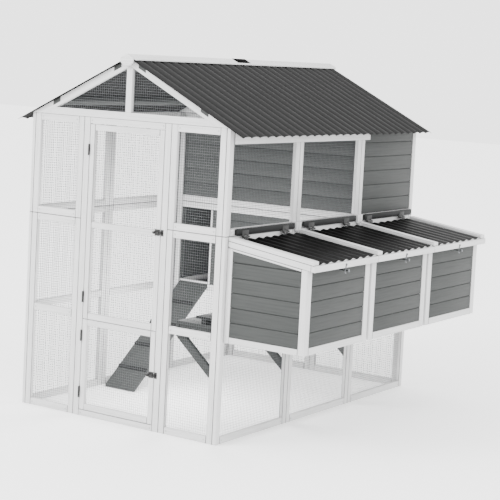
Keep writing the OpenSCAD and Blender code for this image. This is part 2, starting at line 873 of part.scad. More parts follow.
module upper_door_fittings() {
    color(black) place()
        leaf_fittings([hinge_z[0], hinge_z[1]], bolt_z[0]);
}

module upper_bolt() {
    color(black) place()
        bolt(bolt_z[0]);
}

module lower_door_frame() {
    color(white) place()
        leaf_frame(leaf_bot, leaf_cut - 1.5, [leaf_bot, leaf_cut - 1.5 - leaf_stick]);
}

module lower_door_mesh() {
    color(wire) place()
        leaf_mesh(leaf_bot + leaf_stick, leaf_cut - 1.5 - leaf_stick);
}

module lower_door_fittings() {
    color(black) place()
        leaf_fittings([hinge_z[2], hinge_z[3]], bolt_z[1]);
}

module lower_bolt() {
    color(black) place()
        bolt(bolt_z[1]);
}

// A piece of the sloping lid frame between depths d0 and d1, from h0 to h1 above its underside.
module lid_bar(d0, d1, y0, y1, h0, h1) {
    zb = lid_top - lid_h + seam;
    a = d0 + seam / 2;
    b = d1 - seam / 2;
    along_y([[hw + a, zb - lid_slope * a + h0], [hw + b, zb - lid_slope * b + h0],
        [hw + b, zb - lid_slope * b + h1 - seam], [hw + a, zb - lid_slope * a + h1 - seam]],
        y0, y1);
}

// Near side bar of the first lid, which reaches back to the wall. Its lower heel is eased so that
// it swings clear of the box.
module lid_end_bar(d1, y0, y1) {
    zb = lid_top - lid_h + seam;
    a = lid_wall + seam / 2;
    b = d1 - seam / 2;
    along_y([[hw + a, zb - lid_slope * a + 3], [hw + a + 12, zb - lid_slope * (a + 12)],
        [hw + b, zb - lid_slope * b], [hw + b, zb - lid_slope * b + lid_h - seam],
        [hw + a, zb - lid_slope * a + lid_h - seam]], y0, y1);
}

// Scalloped strip that closes the waves of a lid sheet at depth d.
module lid_strip(d, y0, y1) {
    n = round((y1 - y0) / lid_pitch * 6);
    q = (y1 - y0) / n * 6;
    translate([hw, 0, lid_top + 0.1])
        rotate([0, lid_a, 0])
            along_x(concat([[y1, 0], [y0, 0]], wave(y0, y1, q, lid_wave - sheet_t, 1)), d, d + 12);
}

function sheet_y0(i) = lid_y[i] + batten_w;
function sheet_y1(i) = lid_y[i] + lid_l[i] - (i == 2 ? batten_w : 0);

module lid_frame(i) {
    y0 = lid_y[i];
    y1 = y0 + lid_l[i];
    d1 = lid_end - 22;
    if (i == 0)
        lid_end_bar(d1, y0, y0 + 22);
    else
        lid_bar(lid_back, d1, y0, y0 + 22, 0, lid_h);
    lid_bar(lid_back, d1, y1 - 22, y1, 0, lid_h);
    lid_bar(d1, lid_end, y0, y1, 0, lid_h);
    lid_bar(lid_back, lid_back + 22, y0 + 22, y1 - 22, 0, lid_h);
    lid_bar(i == 0 ? lid_wall : lid_back, lid_end - 8, y0, y0 + batten_w, lid_h, lid_h + batten_h);
    if (i == 2)
        lid_bar(lid_back, lid_end - 8, y1 - batten_w, y1, lid_h, lid_h + batten_h);
    for (d = [lid_back + 2, lid_end - 16])
        lid_strip(d, sheet_y0(i) + seam, sheet_y1(i) - seam);
    for (y = lid_hinges(i))
        lid_hinge(y);
}

// Moving half of one lid hinge, let into the back rail.
module lid_hinge(y) {
    third = hinge_l / 6;
    x1 = hw + lid_back - 0.05;
    difference() {
        union() {
            translate([lid_axis_x, y + third - 0.3, lid_axis_z])
                rotate([90, 0, 0])
                    cylinder(r = knuckle_r, h = 2 * third - 0.6);
            translate([x1 - plate_t, y - third + 0.3, lid_axis_z - knuckle_r - 1])
                cube([plate_t, 2 * third - 0.6, knuckle_r + 1]);
            translate([x1 - plate_t, y - hinge_l / 2, lid_axis_z - knuckle_r - 40])
                cube([plate_t, hinge_l, 39.5]);
        }
        translate([lid_axis_x, y + hinge_l, lid_axis_z])
            rotate([90, 0, 0])
                cylinder(r = pin_r + pin_clear, h = 2 * hinge_l);
    }
}

module lid_sheet(i) {
    translate([hw, 0, lid_top + 1.2])
        rotate([0, lid_a, 0])
            corrugated(lid_back + 2, lid_end, sheet_y0(i) + seam, sheet_y1(i) - seam, lid_pitch, lid_wave);
}

// J-shaped latch hook, drawn swung a little aside of its stud.
module lid_hook(i) {
    color(wire) place()
        translate([hw + lid_end + 0.5, hook_y[i] - 10, hook_z])
            rotate([-20, 0, 0]) {
                rotate([0, 90, 0])
                    cylinder(r = 7, h = 2.5);
                translate([0, -3.5, -44])
                    cube([2.5, 7, 44]);
                translate([0, -3.5, -44])
                    cube([2.5, 18.5, 6]);
                rotate([0, 90, 0])
                    cylinder(r = 4, h = 5);
            }
}

module lid_1_frame() { color(white) place() lid_frame(0); }
module lid_2_frame() { color(white) place() lid_frame(1); }
module lid_3_frame() { color(white) place() lid_frame(2); }
module lid_1_sheet() { color(dark) place() lid_sheet(0); }
module lid_2_sheet() { color(dark) place() lid_sheet(1); }
module lid_3_sheet() { color(dark) place() lid_sheet(2); }
module lid_1_hook() { lid_hook(0); }
module lid_2_hook() { lid_hook(1); }
module lid_3_hook() { lid_hook(2); }

front_wall_frame();
door_frame();
left_wall_frame();
right_wall_frame();
rear_wall_frame();
front_wall_mesh();
left_wall_mesh();
right_wall_mesh();
rear_wall_mesh();
front_truss();
house_truss();
rear_truss();
front_gable_mesh();
roof_purlins();
roof_sheet_left();
roof_sheet_right();
ridge_cap();
ridge_joint_plate();
ridge_end_plates();
eave_board();
house_front_frame();
house_front_boards();
house_left_boards();
house_right_boards();
house_rear_boards();
house_corner_batten();
house_floor();
perches();
pop_door_guides();
pop_door();
ramp_board();
ramp_cleats();
nest_shelf();
shelf_step();
shelf_struts();
nest_box_frames();
nest_box_boards();
nest_box_floors();
lid_hinge_boards();
lid_hinge_fixed();
hook_studs();
door_hinge_fixed();
bolt_keepers();
upper_door_frame();
upper_door_mesh();
upper_door_fittings();
upper_bolt();
lower_door_frame();
lower_door_mesh();
lower_door_fittings();
lower_bolt();
lid_1_frame();
lid_1_sheet();
lid_2_frame();
lid_2_sheet();
lid_3_frame();
lid_3_sheet();
lid_1_hook();
lid_2_hook();
lid_3_hook();
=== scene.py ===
"""Walk-in chicken coop: mesh run, split door, raised house with a ramp, three nest boxes."""
import json
import logging
import math
import random
from dataclasses import dataclass, field
from enum import Enum
from typing import Callable, Iterator, Sequence

import bmesh
import bpy
import numpy as np
from mathutils import Matrix, Vector


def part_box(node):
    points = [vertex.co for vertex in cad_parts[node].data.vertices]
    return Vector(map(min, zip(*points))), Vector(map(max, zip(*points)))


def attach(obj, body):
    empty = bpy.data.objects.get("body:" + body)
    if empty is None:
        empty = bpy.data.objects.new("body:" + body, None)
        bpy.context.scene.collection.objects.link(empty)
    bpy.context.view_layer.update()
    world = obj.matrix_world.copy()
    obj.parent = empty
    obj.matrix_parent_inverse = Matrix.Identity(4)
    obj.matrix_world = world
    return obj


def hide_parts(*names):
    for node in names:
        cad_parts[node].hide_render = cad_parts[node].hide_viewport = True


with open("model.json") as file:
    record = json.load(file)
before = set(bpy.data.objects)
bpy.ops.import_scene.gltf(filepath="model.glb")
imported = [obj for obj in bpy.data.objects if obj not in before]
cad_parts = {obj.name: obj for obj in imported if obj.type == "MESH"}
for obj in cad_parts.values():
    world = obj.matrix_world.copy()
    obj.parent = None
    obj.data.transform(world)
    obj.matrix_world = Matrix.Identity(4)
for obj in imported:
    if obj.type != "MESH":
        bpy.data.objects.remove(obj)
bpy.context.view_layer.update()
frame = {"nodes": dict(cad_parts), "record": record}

LOG = logging.getLogger("coop")
MM = 0.001
# Corners nearer than this are one corner.
WELD = 0.01 * MM
# A face is square to its member when its normal has at least this much along one of the member's axes.
SQUARE = 0.985
# Faces that turn by less than this are shaded as one curve: on eased members, and on boards and sheets.
EASED = math.radians(40)
ROLLED = math.radians(50)


class Slot(Enum):
    """Material slots of the record."""

    WHITE = "white_timber"
    GREY = "grey_timber"
    SHEET = "dark_sheet"
    WIRE = "wire_mesh"
    BLACK = "black_steel"
    BRIGHT = "bright_steel"


class Axis(Enum):
    """The three directions of the coop."""

    X = 0
    Y = 1
    Z = 2

    def unit(self) -> Vector:
        """Gives the unit vector along this direction."""
        return Vector([float(self.value == i) for i in range(3)])

    def beside(self) -> "Axis":
        """Gives the level direction along a wall that faces this way."""
        return Axis.Y if self is Axis.X else Axis.X


# ---------------------------------------------------------------- tools of the trade


def linear(hex_colour: str) -> tuple[float, float, float, float]:
    """Turns an sRGB hex value into linear light.

    Args:
        hex_colour: Six hex digits after a hash sign.

    Returns:
        Linear red, green, blue and an alpha of one.
    """
    parts = [int(hex_colour[i : i + 2], 16) / 255 for i in (1, 3, 5)]
    out = [c / 12.92 if c <= 0.04045 else ((c + 0.055) / 1.055) ** 2.4 for c in parts]
    return (out[0], out[1], out[2], 1.0)


def add_node(tree: bpy.types.NodeTree, kind: str, links: dict | None = None, **settings) -> bpy.types.Node:
    """Adds one shader node.

    Args:
        tree: Node tree that gets the node.
        kind: Blender's node type without the ShaderNode prefix.
        links: Input name or number to a value or to another node's output.
        **settings: Properties of the node.

    Returns:
        The new node.
    """
    made = tree.nodes.new("ShaderNode" + kind)
    for key, value in settings.items():
        setattr(made, key, value)
    for key, value in (links or {}).items():
        if isinstance(value, bpy.types.NodeSocket):
            tree.links.new(value, made.inputs[key])
        else:
            made.inputs[key].default_value = value
    return made


def only(*objs: bpy.types.Object) -> None:
    """Selects some objects and nothing else.

    Args:
        *objs: The objects; the first becomes the active one.
    """
    bpy.ops.object.select_all(action="DESELECT")
    for obj in objs:
        obj.select_set(True)
    bpy.context.view_layer.objects.active = objs[0]


def in_edit(obj: bpy.types.Object, work: Callable[[], None]) -> None:
    """Runs edit mode operators on one object with everything in it selected.

    Args:
        obj: Mesh object to work on.
        work: What to do in edit mode.
    """
    only(obj)
    bpy.ops.object.mode_set(mode="EDIT")
    bpy.ops.mesh.select_mode(type="VERT")
    bpy.ops.mesh.select_all(action="SELECT")
    work()
    bpy.ops.object.mode_set(mode="OBJECT")


def pick(obj: bpy.types.Object, kind: str, test: Callable[[object], bool]) -> None:
    """Selects the edges or faces of a mesh that pass a test and nothing else.

    Args:
        obj: Mesh object, in object mode.
        kind: EDGE or FACE.
        test: Tells whether an edge or a face is wanted.
    """
    mesh = obj.data
    for part in (mesh.vertices, mesh.edges, mesh.polygons):
        part.foreach_set("select", [False] * len(part))
    for part in (mesh.edges if kind == "EDGE" else mesh.polygons):
        part.select = test(part)
    only(obj)
    bpy.ops.object.mode_set(mode="EDIT")
    bpy.ops.mesh.select_mode(type=kind)


def use_modifier(obj: bpy.types.Object, kind: str, **settings) -> None:
    """Adds a modifier and applies it.

    Args:
        obj: Mesh object to change.
        kind: Modifier type.
        **settings: The modifier's properties.
    """
    only(obj)
    mod = obj.modifiers.new(kind.lower(), kind)
    for key, value in settings.items():
        setattr(mod, key, value)
    bpy.ops.object.modifier_apply(modifier=mod.name)


def settle(obj: bpy.types.Object) -> None:
    """Moves the place, turn and scale of an object into its mesh."""
    only(obj)
    bpy.ops.object.transform_apply(location=True, rotation=True, scale=True)


def join(parts: Sequence[bpy.types.Object], name: str) -> bpy.types.Object:
    """Joins parts into one object.

    Args:
        parts: Mesh objects.
        name: Name of the result.

    Returns:
        The joined object.
    """
    only(*parts)
    if len(parts) > 1:
        bpy.ops.object.join()
    made = bpy.context.view_layer.objects.active
    made.name = made.data.name = name
    return made


def drop(parts: Sequence[bpy.types.Object]) -> None:
    """Removes helper objects."""
    for part in parts:
        bpy.data.objects.remove(part, do_unlink=True)


def parts_of(node: str) -> list[bpy.types.Object]:
    """Copies a fixed node and splits the copy into its separate members.

    Args:
        node: Name of the node.

    Returns:
        One clean object for each member, in a steady order.
    """
    source = frame["nodes"][node]
    copy = bpy.data.objects.new("copy", source.data.copy())
    bpy.context.scene.collection.objects.link(copy)
    copy.data.materials.clear()

    def clean() -> None:
        """Merges the loose triangles into flat faces and splits the members."""
        bpy.ops.mesh.remove_doubles(threshold=WELD)
        bpy.ops.mesh.dissolve_limited(angle_limit=math.radians(0.6))
        bpy.ops.mesh.select_all(action="SELECT")
        bpy.ops.mesh.separate(type="LOOSE")

    in_edit(copy, clean)
    found = [o for o in bpy.context.selected_objects if o.type == "MESH"]
    return sorted(found, key=lambda o: [round(c, 4) for c in box_of(o)[0]])


def box_of(obj: bpy.types.Object) -> tuple[Vector, Vector]:
    """Measures a mesh whose object sits at the origin.

    Args:
        obj: Mesh object.

    Returns:
        Its lowest and its highest corner.
    """
    co = np.empty(len(obj.data.vertices) * 3)
    obj.data.vertices.foreach_get("co", co)
    co = co.reshape(-1, 3)
    return Vector(co.min(axis=0)), Vector(co.max(axis=0))


def ease(obj: bpy.types.Object, width: float, segments: int = 2) -> None:
    """Rounds the arrises of a piece.

    Args:
        obj: Mesh object.
        width: Width of the rounding in metres.
        segments: Faces across the rounding.
    """
    use_modifier(obj, "BEVEL", width=width, segments=segments, limit_method="ANGLE",
                 angle_limit=math.radians(35), use_clamp_overlap=True)
    only(obj)
    bpy.ops.object.shade_smooth_by_angle(angle=EASED)


def islands(bm: bmesh.types.BMesh) -> Iterator[list[bmesh.types.BMVert]]:
    """Walks through the separate members of a mesh.

    Args:
        bm: The mesh.

    Yields:
        The corners of one member after another, in the order of the mesh.
    """
    seen: set[bmesh.types.BMVert] = set()
    for start in bm.verts:
        if start in seen:
            continue
        seen.add(start)
        stack, member = [start], []
        while stack:
            vert = stack.pop()
            member.append(vert)
            for other in (edge.other_vert(vert) for edge in vert.link_edges):
                if other not in seen:
                    seen.add(other)
                    stack.append(other)
        yield member


def grain(obj: bpy.types.Object, seed: int) -> None:
    """Runs the grain of every member along its length and gives each member its own tone.

    Args:
        obj: Timber piece, which may hold many separate members.
        seed: Start of the piece's own steady random row.
    """
    rng = random.Random(seed)
    while obj.data.uv_layers:
        obj.data.uv_layers.remove(obj.data.uv_layers[0])
    bm = bmesh.new()
    bm.from_mesh(obj.data)
    uv = bm.loops.layers.uv.new("grain")
    tone = bm.faces.layers.float.new("tone")
    joint = bm.faces.layers.float.new("joint")
    for member in islands(bm):
        points = np.array([v.co[:] for v in member])
        _, axes = np.linalg.eigh(np.cov((points - points.mean(axis=0)).T))
        along, wide, thick = (Vector(axes[:, i]) for i in (2, 1, 0))
        shift, level = rng.uniform(0, 50), rng.random()
        faces = sorted({f for v in member for f in v.link_faces}, key=lambda f: f.index)
        # Eased arrises that lie in a joint with another member are marked for the painted shade in the
        # joints.
        slim = [f for f in faces if max(abs(f.normal.dot(a)) for a in (along, wide, thick)) < SQUARE]
        if slim:
            hits = joint_faces(points, np.array([f.calc_center_median()[:] for f in slim]))
            for face, hit in zip(slim, hits):
                face[joint] = 1.0 if hit else 0.0
        for face in faces:
            face[tone] = level
            for loop in face.loops:
                co = loop.vert.co
                loop[uv].uv = (co.dot(along) + shift, co.dot(wide) + co.dot(thick) + shift)
    bm.to_mesh(obj.data)
    bm.free()


def member_boxes() -> np.ndarray:
    """Lists the boxes of all straight members of the fixed frame.

    Returns:
        One row of six numbers for each member: its lowest and its highest corner.
    """
    rows = []
    for name, source in frame["nodes"].items():
        if "frame" not in name and "boards" not in name and "truss" not in name:
            continue
        bm = bmesh.new()
        bm.from_mesh(source.data)
        bmesh.ops.remove_doubles(bm, verts=bm.verts, dist=WELD)
        for member in islands(bm):
            # A straight member is a plain bar with eight corners.
            if len(member) == 8:
                co = np.array([v.co[:] for v in member])
                rows.append([*co.min(axis=0), *co.max(axis=0)])
        bm.free()
    return np.array(rows)


BOXES = member_boxes()


def joint_faces(points: np.ndarray, centres: np.ndarray, reach: float = 3.6 * MM) -> np.ndarray:
    """Tells which places on a member lie in its joints with other members.

    Args:
        points: The member's corners.
        centres: Places on it.
        reach: How near another member has to be.

    Returns:
        True for each place in a joint.
    """
    lo, hi = points.min(axis=0), points.max(axis=0)
    own = np.abs(BOXES - np.concatenate([lo, hi])).max(axis=1) < 0.4 * MM
    others = BOXES[~own]
    low = (centres[:, None, :] > others[None, :, :3] - reach).all(axis=2)
    high = (centres[:, None, :] < others[None, :, 3:] + reach).all(axis=2)
    return (low & high).any(axis=1)


def cut_above(obj: bpy.types.Object, left: Vector, right: Vector, depth: Vector) -> None:
    """Cuts a piece off above a line and closes the cut.

    Args:
        obj: Mesh object.
        left: One point of the line.
        right: Another point of the line, further along.
        depth: Direction of the cut through the piece.
    """
    normal = (right - left).cross(depth).normalized()
    if normal.z < 0:
        normal = -normal
    in_edit(obj, lambda: bpy.ops.mesh.bisect(
        plane_co=left, plane_no=normal, use_fill=True, clear_outer=True))


def top_line(obj: bpy.types.Object, run: Axis) -> tuple[Vector, Vector]:
    """Finds the top corners of a flat panel at its two ends.

    Args:
        obj: The panel.
        run: Direction along the panel.

    Returns:
        The highest point at the low end and at the high end.
    """
    lo, hi = box_of(obj)
    ends = []
    for value in (lo[run.value], hi[run.value]):
        near = [v.co for v in obj.data.vertices if abs(v.co[run.value] - value) < 0.2 * MM]
        ends.append(max(near, key=lambda c: c.z).copy())
    return ends[0], ends[1]


def thin_axis(lo: Vector, hi: Vector) -> Axis:
    """Tells which way a panel faces: along X or along Y."""
    return Axis.X if hi.x - lo.x < hi.y - lo.y else Axis.Y


# ---------------------------------------------------------------- finishes


def blank(name: str) -> tuple[bpy.types.Material, bpy.types.NodeTree, bpy.types.Node]:
    """Starts a material.

    Args:
        name: Name of the material.

    Returns:
        The material, its node tree and its shader.
    """
    mat = bpy.data.materials.new(name)
    mat.use_nodes = True
    return mat, mat.node_tree, mat.node_tree.nodes["Principled BSDF"]


@dataclass(frozen=True)
class TimberFinish:
    """Planed softwood, brushed with an opaque coat that still lets the grain lift it."""

    name: str
    light: str
    dark: str
    # Colour of the painted shade in the joints between members.
    joint: str
    spread: float
    roughness: float
    relief: float
    gloss: float = 0.35

    def make(self) -> bpy.types.Material:
        """Builds the material.

        Returns:
            A material whose grain follows the piece's own map, in metres.
        """
        mat, tree, shader = blank(self.name)
        uv = add_node(tree, "TexCoord").outputs["UV"]
        # Growth rings about 9 mm apart, drawn out some 30 times along the member.
        slow = add_node(tree, "Mapping", {"Vector": uv, "Scale": (3.5, 110.0, 1.0)})
        rings = add_node(tree, "TexNoise", {"Vector": slow.outputs[0], "Scale": 1.0, "Detail": 5.0,
                                            "Roughness": 0.62, "Distortion": 0.4})
        # Brush marks about 1.5 mm apart.
        fine = add_node(tree, "Mapping", {"Vector": uv, "Scale": (14.0, 650.0, 1.0)})
        brush = add_node(tree, "TexNoise", {"Vector": fine.outputs[0], "Scale": 1.0, "Detail": 3.0})
        # Cloudy weathering, a hand's width across.
        cloud = add_node(tree, "TexNoise", {"Vector": uv, "Scale": 7.0, "Detail": 4.0})
        mark = add_node(tree, "MapRange", {"Value": rings.outputs[0], "From Min": 0.42, "From Max": 0.72,
                                           "To Min": 0.0, "To Max": 0.75})
        soft = add_node(tree, "Math", {0: cloud.outputs[0], 1: 0.35}, operation="MULTIPLY")
        both = add_node(tree, "Math", {0: mark.outputs[0], 1: soft.outputs[0]}, operation="ADD")
        tone = add_node(tree, "Attribute", attribute_name="tone")
        lift = add_node(tree, "MapRange", {"Value": tone.outputs["Fac"], "To Min": 1.0 - self.spread,
                                           "To Max": 1.0 + self.spread})
        colour = add_node(tree, "Mix", {0: both.outputs[0], 6: linear(self.light), 7: linear(self.dark)},
                          data_type="RGBA")
        toned = add_node(tree, "HueSaturation", {"Color": colour.outputs[2], "Value": lift.outputs[0]})
        # Painted shade: faces in the joints between two members are darkened towards the joint colour.
        near = add_node(tree, "Attribute", attribute_name="joint")
        joint_shaded = add_node(tree, "Mix", {0: near.outputs["Fac"], 6: toned.outputs[0], 7: linear(self.joint)},
                         data_type="RGBA")
        tree.links.new(joint_shaded.outputs[2], shader.inputs["Base Color"])
        rough = add_node(tree, "MapRange", {"Value": brush.outputs[0], "To Min": self.roughness - 0.08,
                                            "To Max": self.roughness + 0.12})
        tree.links.new(rough.outputs[0], shader.inputs["Roughness"])
        height = add_node(tree, "Math", {0: rings.outputs[0], 1: brush.outputs[0]}, operation="ADD")
        bump = add_node(tree, "Bump", {"Height": height.outputs[0], "Strength": self.relief,
                                       "Distance": 0.0004})
        tree.links.new(bump.outputs[0], shader.inputs["Normal"])
        shader.inputs["Specular IOR Level"].default_value = self.gloss
        return mat


@dataclass(frozen=True)
class SheetFinish:
    """Corrugated roofing sheet, rolled steel with a baked matt coat that holds dust."""

    name: str
    light: str
    dark: str
    roughness: float
    gloss: float

    def make(self) -> bpy.types.Material:
        """Builds the material.

        Returns:
            A material on Object coordinates.
        """
        mat, tree, shader = blank(self.name)
        # Dust on the coat breaks up most of its shine.
        shader.inputs["Specular IOR Level"].default_value = self.gloss
        at = add_node(tree, "TexCoord").outputs["Object"]
        # Dust in patches about 150 mm across, and a coat texture of about 2 mm.
        dust = add_node(tree, "TexNoise", {"Vector": at, "Scale": 6.5, "Detail": 5.0, "Roughness": 0.6})
        grit = add_node(tree, "TexNoise", {"Vector": at, "Scale": 480.0, "Detail": 2.0})
        colour = add_node(tree, "Mix", {0: dust.outputs[0], 6: linear(self.dark), 7: linear(self.light)},
                          data_type="RGBA")
        tree.links.new(colour.outputs[2], shader.inputs["Base Color"])
        rough = add_node(tree, "MapRange", {"Value": dust.outputs[0], "To Min": self.roughness - 0.1,
                                            "To Max": self.roughness + 0.1})
        tree.links.new(rough.outputs[0], shader.inputs["Roughness"])
        bump = add_node(tree, "Bump", {"Height": grit.outputs[0], "Strength": 0.25, "Distance": 0.0003})
        tree.links.new(bump.outputs[0], shader.inputs["Normal"])
        return mat


@dataclass(frozen=True)
class MetalFinish:
    """Small steel ware: drawn and zinc plated, or pressed and dipped black."""

    name: str
    light: str
    dark: str
    metallic: float
    roughness: float
    spangle: float

    def make(self) -> bpy.types.Material:
        """Builds the material.

        Returns:
            A material on Object coordinates.
        """
        mat, tree, shader = blank(self.name)
        at = add_node(tree, "TexCoord").outputs["Object"]
        # Crystals of the coat, a few millimetres across.
        flake = add_node(tree, "TexVoronoi", {"Vector": at, "Scale": self.spangle})
        haze = add_node(tree, "TexNoise", {"Vector": at, "Scale": 30.0, "Detail": 4.0})
        mixed = add_node(tree, "Math", {0: flake.outputs["Color"], 1: haze.outputs[0]}, operation="MULTIPLY")
        colour = add_node(tree, "Mix", {0: mixed.outputs[0], 6: linear(self.light), 7: linear(self.dark)},
                          data_type="RGBA")
        tree.links.new(colour.outputs[2], shader.inputs["Base Color"])
        rough = add_node(tree, "MapRange", {"Value": haze.outputs[0], "To Min": self.roughness - 0.1,
                                            "To Max": self.roughness + 0.12})
        tree.links.new(rough.outputs[0], shader.inputs["Roughness"])
        shader.inputs["Metallic"].default_value = self.metallic
        return mat


WHITE_COAT = TimberFinish("opaque_coated_pine_white", "#CBCBCB", "#B4B4B4", "#5A5A5A",
                          0.03, 0.55, 0.35)
GREY_COAT = TimberFinish("stained_spruce_board_grey", "#373938", "#2B2D2C", "#161616",
                         0.05, 0.6, 0.45, 0.28)
# Painted shade: the grey stain darkened for boards that stand in shade, with a darker joint colour.
GREY_COAT_IN_SHADE = TimberFinish("stained_spruce_board_grey_painted_shade", "#1C1D1D", "#151616", "#0C0C0C",
                         0.05, 0.6, 0.45, 0.2)
ROOF_COAT = SheetFinish("corrugated_steel_matt_grey", "#1E1E1E", "#161616", 0.7, 0.1)
LID_COAT = SheetFinish("corrugated_steel_matt_charcoal", "#0A0A0A", "#070707", 0.42, 0.06)
RIDGE_COAT = SheetFinish("matt_black_cover_strip", "#080808", "#050505", 0.9, 0.02)
ZINC_WIRE = MetalFinish("galvanised_welded_wire", "#585A5C", "#484A4C", 0.4, 0.5, 300.0)
ZINC_PLATE = MetalFinish("zinc_plated_strip", "#6A6C6E", "#505254", 0.9, 0.42, 260.0)
GREY_DIP = MetalFinish("grey_dipped_steel", "#161616", "#101010", 0.0, 0.55, 400.0)
BLACK_DIP = MetalFinish("black_dipped_steel", "#0C0C0C", "#161616", 0.0, 0.45, 400.0)

Finish = TimberFinish | SheetFinish | MetalFinish
# Materials built so far, by the name of their finish.
MIXED: dict[str, bpy.types.Material] = {}


def coat(obj: bpy.types.Object, finish: Finish) -> None:
    """Gives a piece its finish, and builds the material the first time.

    Args:
        obj: The piece.
        finish: The finish to put on it.
    """
    if finish.name not in MIXED:
        MIXED[finish.name] = finish.make()
    obj.data.materials.clear()
    obj.data.materials.append(MIXED[finish.name])


# ---------------------------------------------------------------- base of every sub-assembly


@dataclass
class Assembly:
    """A group of pieces that are made and fixed together."""

    label: str
    made: int = field(default=0, init=False)

    def body(self, node: str) -> str:
        """Names the body that carries a node."""
        bodies = frame["record"]["behaviour"]["bodies"]
        return next(name for name, nodes in bodies.items() if node in nodes)

    def hang(self, piece: bpy.types.Object, slot: Slot, finish: Finish, node: str) -> None:
        """Dresses a finished piece and fixes it to the body that carries a node.

        Args:
            piece: The piece.
            slot: Material slot of the record; not used.
            finish: Finish to put on it.
            node: Node on whose body it rides.
        """
        coat(piece, finish)
        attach(piece, self.body(node))
        self.made += 1
        LOG.info("%s: %s, %d faces", self.label, piece.name, len(piece.data.polygons))

    def fix(self, piece: bpy.types.Object, slot: Slot, finish: Finish, node: str) -> None:
        """Dresses and fixes a piece that stands for a node.

        Args:
            piece: The piece.
            slot: Material slot of the record.
            finish: Finish to put on it.
            node: Node that it replaces.
        """
        self.hang(piece, slot, finish, node)
        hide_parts(node)

    def timber(self, node: str, slot: Slot, finish: TimberFinish, arris: float = 2.2 * MM) -> None:
        """Makes eased timbers from a node and fixes them.

        Args:
            node: Node that holds the members.
            slot: Material slot.
            finish: Timber finish.
            arris: Rounding of the edges.
        """
        piece = join(parts_of(node), node + "_timber")
        ease(piece, arris)
        grain(piece, len(node) * 31 + self.made)
        self.fix(piece, slot, finish, node)

    def metal(self, node: str, slot: Slot, finish: MetalFinish, arris: float = 0.35 * MM) -> None:
        """Makes small metal ware from a node, with its burrs taken off, and fixes it.

        Args:
            node: Node that holds the ware.
            slot: Material slot.
            finish: Metal finish.
            arris: Rounding of the edges.
        """
        piece = join(parts_of(node), node + "_ware")
        ease(piece, arris)
        self.fix(piece, slot, finish, node)

    def screw_head(self) -> bpy.types.Object:
        """Turns one countersunk head, 7.8 mm across, that faces up.

        Returns:
            The head at the origin.
        """
        bpy.ops.mesh.primitive_cylinder_add(vertices=14, radius=3.9 * MM, depth=1.6 * MM)
        head = bpy.context.active_object
        pick(head, "FACE", lambda f: f.normal.z > 0.9)
        bpy.ops.mesh.inset(thickness=0.5 * MM)
        bpy.ops.mesh.inset(thickness=1.9 * MM, depth=-0.7 * MM)
        bpy.ops.object.mode_set(mode="OBJECT")
        return head

    def screws(self, nodes: Sequence[str], face: Axis, side: int, inset: float = 14.0 * MM) -> None:
        """Sinks a countersunk screw into both ends of every rail of some frames.

        Args:
            nodes: Nodes whose lying members get screws.
            face: Direction that the heads face, X or Y.
            side: 1 or -1 along that direction.
            inset: Distance of a screw from the rail's end.
        """
        head = self.screw_head()
        turn = {Axis.X: Matrix.Rotation(math.pi / 2, 4, "Y"),
                Axis.Y: Matrix.Rotation(-math.pi / 2, 4, "X")}[face]
        if side < 0:
            turn = turn @ Matrix.Rotation(math.pi, 4, "X")
        run = face.beside()
        heads = []
        for node in nodes:
            members = parts_of(node)
            for member in members:
                lo, hi = box_of(member)
                size = hi - lo
                # Only rails: members over 60 mm long and at least four times as long as they are high.
                if size[run.value] < max(4 * size.z, 60 * MM):
                    continue
                for end in (lo[run.value] + inset, hi[run.value] - inset):
                    spot = (lo + hi) / 2
                    spot[run.value] = end
                    spot[face.value] = (hi if side > 0 else lo)[face.value] - side * 0.5 * MM
                    only(head)
                    bpy.ops.object.duplicate()
                    made = bpy.context.active_object
                    made.matrix_world = Matrix.Translation(spot) @ turn
                    settle(made)
                    heads.append(made)
            drop(members)
        drop([head])
        self.hang(join(heads, nodes[0] + "_screws"), Slot.BRIGHT, ZINC_PLATE, nodes[0])


# ---------------------------------------------------------------- wire, boards and sheets


@dataclass
class WirePanels(Assembly):
    """Square welded mesh: straight wires in two crossing layers."""

    pitch: float = 14.0 * MM
    # A little thicker than the 1 mm wire of most coop mesh, so that it shows.
    radius: float = 0.7 * MM
    sides: int = 5
    # A panel whose top runs out of level by more than this is cut along it.
    level: float = 10.0 * MM

    def wires(self, lo: Vector, hi: Vector, across: Axis, along: Axis, layer: float) -> bpy.types.Object:
        """Makes one layer of parallel wires.

        Args:
            lo: Lowest corner of the panel.
            hi: Highest corner of the panel.
            across: Direction in which the wires repeat.
            along: Direction in which they run.
            layer: Offset of the layer from the middle of the panel.

        Returns:
            The layer as one object.
        """
        face = thin_axis(lo, hi)
        span = hi[across.value] - lo[across.value]
        count = max(2, round(span / self.pitch))
        step = span / count
        spot = (lo + hi) / 2
        spot[face.value] += layer
        spot[across.value] = lo[across.value] + step / 2
        turn = {Axis.X: (0, math.pi / 2, 0), Axis.Y: (math.pi / 2, 0, 0), Axis.Z: (0, 0, 0)}[along]
        bpy.ops.mesh.primitive_cylinder_add(vertices=self.sides, radius=self.radius,
                                            depth=hi[along.value] - lo[along.value],
                                            location=spot, rotation=turn)
        wire = bpy.context.active_object
        settle(wire)
        use_modifier(wire, "ARRAY", count=count, use_relative_offset=False,
                     use_constant_offset=True, constant_offset_displace=across.unit() * step)
        return wire

    def weave(self, node: str) -> None:
        """Makes the mesh of every opening that a node fills.

        Args:
            node: Node of thin panels.
        """
        layers = []
        slabs = parts_of(node)
        for slab in slabs:
            lo, hi = box_of(slab)
            face = thin_axis(lo, hi)
            run = face.beside()
            # The layers bite into each other a little, as welded wires do.
            bite = self.radius * 0.9
            pair = [self.wires(lo, hi, run, Axis.Z, bite), self.wires(lo, hi, Axis.Z, run, -bite)]
            left, right = top_line(slab, run)
            if abs(left.z - right.z) > self.level:
                for layer in pair:
                    cut_above(layer, left, right, face.unit())
            layers += pair
        drop(slabs)
        self.fix(join(layers, node + "_wires"), Slot.WIRE, ZINC_WIRE, node)


